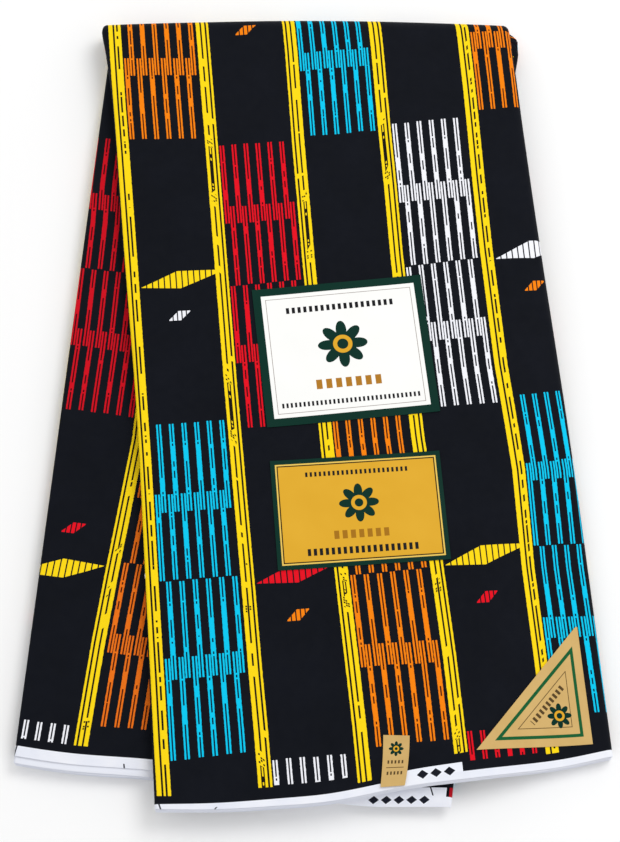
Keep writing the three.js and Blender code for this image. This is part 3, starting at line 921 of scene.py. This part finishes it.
def turned(x, y, angle):
    """A plan vector turned by an angle in degrees."""
    c, s = np.cos(np.radians(angle)), np.sin(np.radians(angle))
    return x * c - y * s, x * s + y * c


def oblong(x, down, width, height, turn):
    """Plan of an oblong label, by its centre, size and turn."""

    def plan(a, b):
        u, v = (a - 0.5) * width, (b - 0.5) * height
        dx, dy = turned(u, v, turn)
        return x + dx, dy - down, u, v

    return plan


a, b = np.meshgrid(np.linspace(0, 1, 41), np.linspace(0, 1, 41), indexing="ij")
edge_lift = 0.5 * (np.abs(2 * a - 1) ** 8 * np.abs(2 * b - 1) ** 3)
WHITE_SIZE, GOLD_SIZE = (124, 107), (120, 79.7)
white_label = paper_label("label_white_paper", a, b, oblong(23.2, 276.8, *WHITE_SIZE, 5.8), edge_lift)
gold_label = paper_label("label_gold_paper", a, b, oblong(31.3, 397.2, *GOLD_SIZE, 3.8), edge_lift)


def bent_tag(a, b):
    """Plan of the small tag: an oblong whose loose lower end swings to the left and narrows."""
    x, y, u, v = oblong(51.5, 571.6, 17.6, 34, -1.5)(a, b)
    return x - (2.6 + 1.4 * (a - 0.5)) * (1 - b) ** 2 + 0.6, y + 1.6 * (a - 0.4) * (1 - b), u, v


hem_label = paper_label("label_hem_paper", a, b, bent_tag, 0.9 * (1 - b) ** 2)
TRIANGLE_LEG, TRIANGLE_TIP = 81, 1.5


def corner_triangle(a, b):
    """Plan of the right-angled label, whose square corner is at its lower right."""
    width = TRIANGLE_LEG + (TRIANGLE_TIP - TRIANGLE_LEG) * b
    u, v = (a - 1) * width, TRIANGLE_LEG * b
    dx, dy = turned(u, v, 4)
    return 186.6 + dx, dy - 559, u, v


triangle_label = paper_label("label_triangle_paper", a, b, corner_triangle, 0.3 * (1 - a) ** 4)


def printed_paper(material, u, v, colour, roughness):
    """Coated paper: faint fibres in its relief and its roughness."""
    fibres = mottle(u, v, 0.9, 3.0, 0.7)
    surfaced(material, colour, fibres * 0.12 + (roughness - 0.06), fibres, 0.0001, 0.15, 0.07)


def frame_inset(u, v, width, height):
    """Distance in from the nearest edge of an oblong label."""
    return (width / 2 - u.size()).math("MINIMUM", height / 2 - v.size())


def row_of_dashes(u, v, middle, half, count, pitch, share):
    """A row of short upright dashes: one in the middle and a count to each side of it."""
    one = (u + pitch * share / 2).wrapped(pitch).under(pitch * share)
    return v.near(middle, half) * u.size().under((count + 0.5) * pitch) * one


GREEN, GOLD, INK = (0, 46, 36), (222, 166, 40), (24, 24, 28)


def rosette(colour, u, v, x, y, size, ring):
    """The colour with eight green petals laid on it about a point, in a circle whose radius swells and
    shrinks with the angle, and on them a gold ring between two radii."""
    dx, dy = u - x, v - y
    far = (dx * dx + dy * dy).math("SQRT")
    angle = dy.math("ARCTAN2", dx)
    petals = ((angle * 4).math("COSINE").size() * 0.45 + 0.55) * size
    colour = laid_over((far - petals).under(0), colour, GREEN)
    return laid_over(far.under(ring[1]) * far.over(ring[0]), colour, GOLD)


material, u, v = new_material("white_paper")
inset = frame_inset(u, v, *WHITE_SIZE)
colour = laid_in_turn(
    laid_over(mottle(u, v, 0.03, 2.0), (244, 244, 241), (250, 250, 248)),
    (inset.near(9.1, 0.22), (150, 140, 135)),
    (inset.under(5.9), GREEN),
    (row_of_dashes(u, v, 34.5, 2.3, 9, 4.2, 0.55), INK),
    (row_of_dashes(u, v, -38.5, 1.8, 16, 3.05, 0.5), INK),
    (row_of_dashes(u, v, -24.5, 3.6, 3, 7.1, 0.6), (176, 120, 36)),
)
printed_paper(material, u, v, rosette(colour, u, v, -1, 5, 18, (4, 7)), 0.45)
white_label.data.materials.append(material)

material, u, v = new_material("gold_paper")
inset = frame_inset(u, v, *GOLD_SIZE)
colour = laid_in_turn(
    laid_over(mottle(u, v, 0.03, 2.0), (216, 162, 38), (226, 174, 50)),
    (inset.under(4.3), (232, 196, 92)),
    (inset.near(4.7, 0.42), (44, 30, 12)),
    (inset.under(3.2), GREEN),
    (row_of_dashes(u, v, 28.2, 1.7, 11, 3.2, 0.5), INK),
    (row_of_dashes(u, v, -28.4, 2.5, 9, 4.15, 0.55), INK),
    (row_of_dashes(u, v, -16.9, 3.0, 3, 5.8, 0.6), (164, 112, 24)),
)
printed_paper(material, u, v, rosette(colour, u, v, 0, 5.5, 14, (3, 5.5)), 0.4)
gold_label.data.materials.append(material)

material, u, v = new_material("brown_paper_tag")
colour = laid_in_turn(
    laid_over(mottle(u, v, 0.05, 3.0, 0.7), (196, 160, 98), (212, 178, 114)),
    (v.near(-4.5, 0.25) * u.size().under(6), (96, 74, 40)),
    (row_of_dashes(u, v, -0.8, 1.1, 2, 2.4, 0.5), (86, 66, 36)),
    (row_of_dashes(u, v, -8.2, 1.1, 2, 2.4, 0.5), (86, 66, 36)),
)
printed_paper(material, u, v, rosette(colour, u, v, 0, 8, 5, (1.0, 2)), 0.65)
hem_label.data.materials.append(material)

material, u, v = new_material("brown_paper_triangle")
slope_in = (TRIANGLE_LEG + u - v) * 0.70711
inset = slope_in.math("MINIMUM", v).math("MINIMUM", u * -1)
dashes = slope_in.near(17.5, 2.0) * (u + v).wrapped(5.2).under(2.8) * (u + v).near(0, 24)
colour = laid_in_turn(
    laid_over(mottle(u, v, 0.04, 3.0, 0.7), (200, 164, 100), (214, 180, 116)),
    (inset.near(6.6, 1.1), (20, 92, 50)),
    (inset.near(12.6, 0.25), (96, 74, 40)),
    (dashes, (86, 66, 36)),
)
printed_paper(material, u, v, rosette(colour, u, v, -20.5, 20.5, 8.5, (2.0, 3.6)), 0.65)
triangle_label.data.materials.append(material)

for piece, node, name in (
    (white_label, "label_white", "white_label"),
    (gold_label, "label_gold", "gold_label"),
    (hem_label, "label_hem", "kraft_label"),
    (triangle_label, "label_triangle", "kraft_label"),
):
    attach(piece, "root")
    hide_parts(node)


# Floor, light and camera
# A plain white studio floor, one broad soft lamp over the cloth's upper right and an even white surround.

floor_mesh = bpy.data.meshes.new("studio_floor")
FLOOR_HALF, FLOOR_DROP = 4, 0.0004
floor_corners = [
    (x * FLOOR_HALF, y * FLOOR_HALF, -FLOOR_DROP) for x, y in ((-1, -1), (1, -1), (1, 1), (-1, 1))
]
floor_mesh.from_pydata(floor_corners, [], [(0, 1, 2, 3)])
floor = bpy.data.objects.new("studio_floor", floor_mesh)
bpy.context.scene.collection.objects.link(floor)
material = bpy.data.materials.new("studio_floor")
material.use_nodes = True
shader = material.node_tree.nodes["Principled BSDF"]
shader.inputs["Base Color"].default_value = (0.97, 0.97, 0.97, 1)
shader.inputs["Roughness"].default_value = 0.9
shader.inputs["Specular IOR Level"].default_value = 0.0
floor_mesh.materials.append(material)

world = bpy.data.worlds.new("studio")
world.use_nodes = True
world.node_tree.nodes["Background"].inputs[0].default_value = (1, 1, 1, 1)
world.node_tree.nodes["Background"].inputs[1].default_value = 0.8
bpy.context.scene.world = world

lamp_data = bpy.data.lights.new("soft_lamp", "AREA")
lamp_data.shape = "DISK"
lamp_data.size = 1.2
lamp_data.energy = 16
lamp = bpy.data.objects.new("soft_lamp", lamp_data)
lamp.location = (0.9, 0.7, 1.9)
lamp.rotation_euler = Euler((-0.36, 0.44, 0))
bpy.context.scene.collection.objects.link(lamp)

camera_data = bpy.data.cameras.new("camera")
camera_data.sensor_width = 36
camera_data.lens = 76.96
camera = bpy.data.objects.new("camera", camera_data)
camera.location = (-0.04156, -0.46753, 1.22485)
camera.rotation_euler = Euler(np.radians([20.0264, -1.6820, -0.66036]))
bpy.context.scene.collection.objects.link(camera)
bpy.context.scene.camera = camera
bpy.context.scene.view_settings.view_transform = "Standard"
